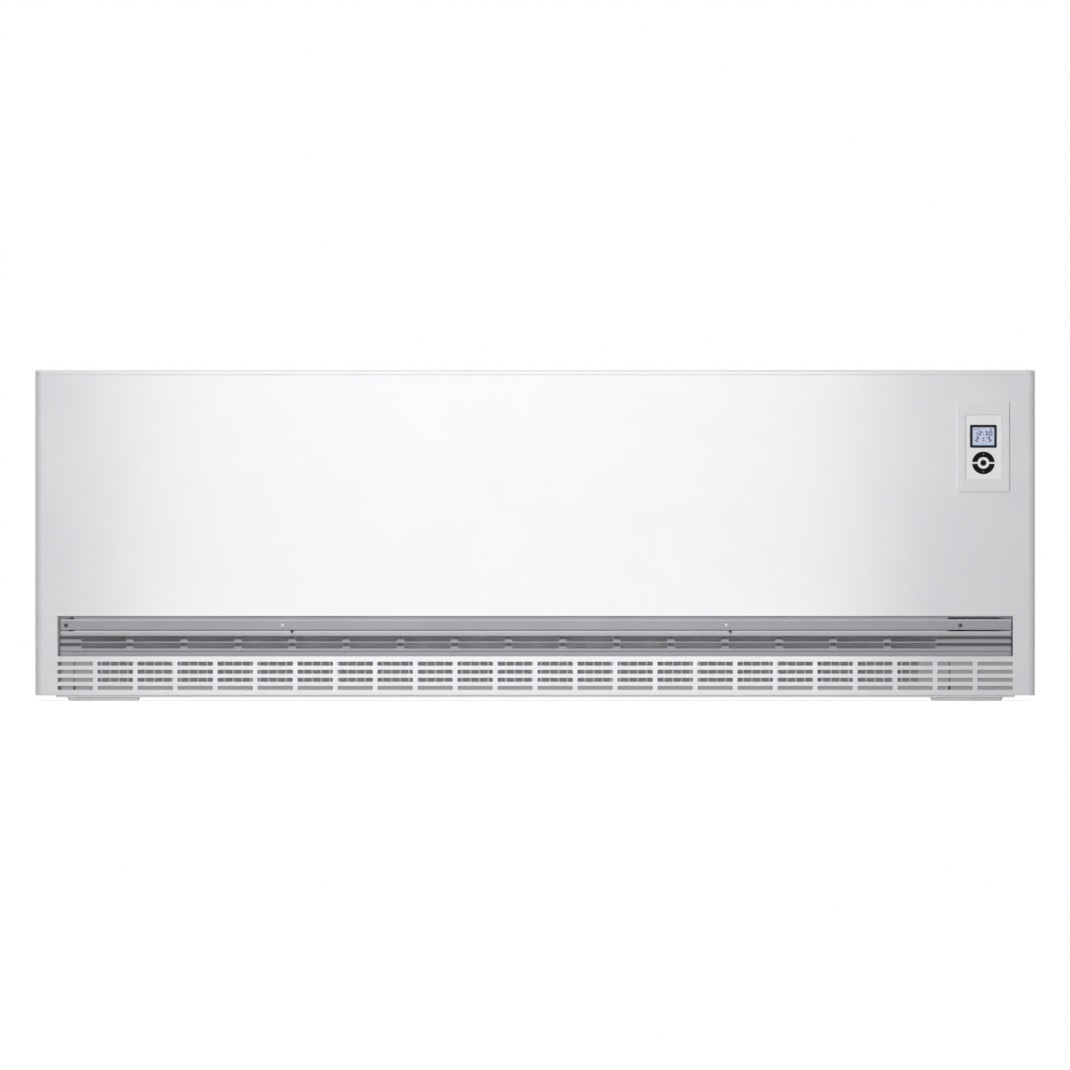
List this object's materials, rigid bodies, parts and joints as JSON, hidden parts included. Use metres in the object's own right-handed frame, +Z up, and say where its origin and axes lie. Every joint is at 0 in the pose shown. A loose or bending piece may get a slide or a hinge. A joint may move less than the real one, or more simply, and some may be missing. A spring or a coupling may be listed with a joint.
{
  "type": "storage heater",
  "caption": "Low, wide storage heater: white sheet-metal casing round a hot brick core, saw-tooth air outlet grille, slotted inlet, fan below the core and a control unit with a display.",
  "frame": {"origin": "on the floor under the middle of the casing", "axes": "+X along the front from left to right, the front faces -Y, +Z up"},
  "size_m": [1.5, 0.246, 0.497],
  "materials": {
    "white_paint": "fine-textured white powder coat",
    "galvanised": "galvanised sheet with a soft spangle",
    "grille_paint": "satin light grey paint",
    "zinc": "bright zinc",
    "black_zinc": "black zinc",
    "filter_plastic": "moulded grey plastic",
    "filter_mesh": "dark gauze on moulded ribs",
    "rubber": "soft black rubber",
    "spacer_plastic": "moulded grey plastic",
    "insulation": "pressed mineral board",
    "brick": "fired dark brown brick",
    "element_steel": "heat-tinted steel tube",
    "ceramic": "unglazed ceramic",
    "brass": "plain brass",
    "copper": "plain copper",
    "switch_plastic": "dark moulded plastic",
    "terminal_plastic": "off-white moulded plastic",
    "motor_steel": "dark paint on pressed steel",
    "impeller_metal": "thin bright sheet",
    "bronze": "sintered bronze",
    "control_plastic": "fine-grained white plastic",
    "lens": "polished dark window",
    "lcd": "pale blue display",
    "key_plastic": "glossy black plastic",
    "key_rubber": "grey silicone",
    "board": "green lacquered board"
  },
  "bodies": {
    "casing": {"front_panel": "white_paint", "left_side_panel": "white_paint", "right_side_panel": "white_paint", "top_cover": "white_paint", "rear_panel": "galvanised", "base_plate": "galvanised", "left_foot": "galvanised", "right_foot": "galvanised", "foot_rivets": "zinc", "casing_screws": "zinc", "rear_panel_screws": "zinc", "wall_spacers": "spacer_plastic", "cable_grommet": "rubber", "outlet_grille": "grille_paint", "grille_rail": "galvanised", "grille_screws": "zinc", "grille_end_screws": "black_zinc", "filter_carrier": "filter_plastic", "lint_filter": "filter_mesh", "left_bulkhead": "galvanised", "right_bulkhead": "galvanised", "core_floor": "galvanised", "core_legs": "galvanised", "duct_divider": "galvanised", "side_insulation": "insulation", "end_insulation": "insulation", "top_insulation": "insulation", "bottom_insulation": "insulation", "heating_elements": "element_steel", "element_bushes": "ceramic", "busbars": "copper", "busbar_nuts": "brass", "core_sensor": "copper", "thermal_cutout": "switch_plastic", "terminal_block": "terminal_plastic", "cable_clamp": "switch_plastic", "fan_motor": "motor_steel", "motor_cradle": "rubber", "fan_bearings": "bronze", "bearing_brackets": "galvanised", "fan_scrolls": "galvanised", "flap_rod": "zinc", "flap_brackets": "brass", "control_bezel": "control_plastic", "control_fascia": "control_plastic", "display_lens": "lens", "lcd_module": "lcd", "key_mat": "key_rubber", "control_board": "board", "brick_layer_1": "brick", "brick_layer_2": "brick", "brick_layer_3": "brick", "brick_layer_4": "brick"},
    "fan_rotor": {"fan_shaft": "zinc", "left_impeller": "impeller_metal", "right_impeller": "impeller_metal"},
    "mixing_flap": {"mixing_flap": "galvanised"},
    "up_key": {"up_key": "key_plastic"},
    "down_key": {"down_key": "key_plastic"},
    "ok_key": {"ok_key": "key_plastic"}
  },
  "joints": [
    {"name": "fan_spin", "type": "hinge", "parent": "casing", "child": "fan_rotor", "pos_m": [-0.04, 0.0405, 0.0365], "axis": [1, 0, 0], "continuous": true},
    {"name": "flap_swing", "type": "hinge", "parent": "casing", "child": "mixing_flap", "pos_m": [-0.04, 0.00175, 0.128], "axis": [-1, 0, 0], "range_deg": [0, 35], "stiffness_Nm_per_rad": 0.1, "springref_deg": -22.92},
    {"name": "up_press", "type": "slide", "parent": "casing", "child": "up_key", "axis": [0, 1, 0], "range_m": [0, 0.0008], "stiffness_N_per_m": 800},
    {"name": "down_press", "type": "slide", "parent": "casing", "child": "down_key", "axis": [0, 1, 0], "range_m": [0, 0.0008], "stiffness_N_per_m": 800},
    {"name": "ok_press", "type": "slide", "parent": "casing", "child": "ok_key", "axis": [0, 1, 0], "range_m": [0, 0.0008], "stiffness_N_per_m": 800}
  ]
}
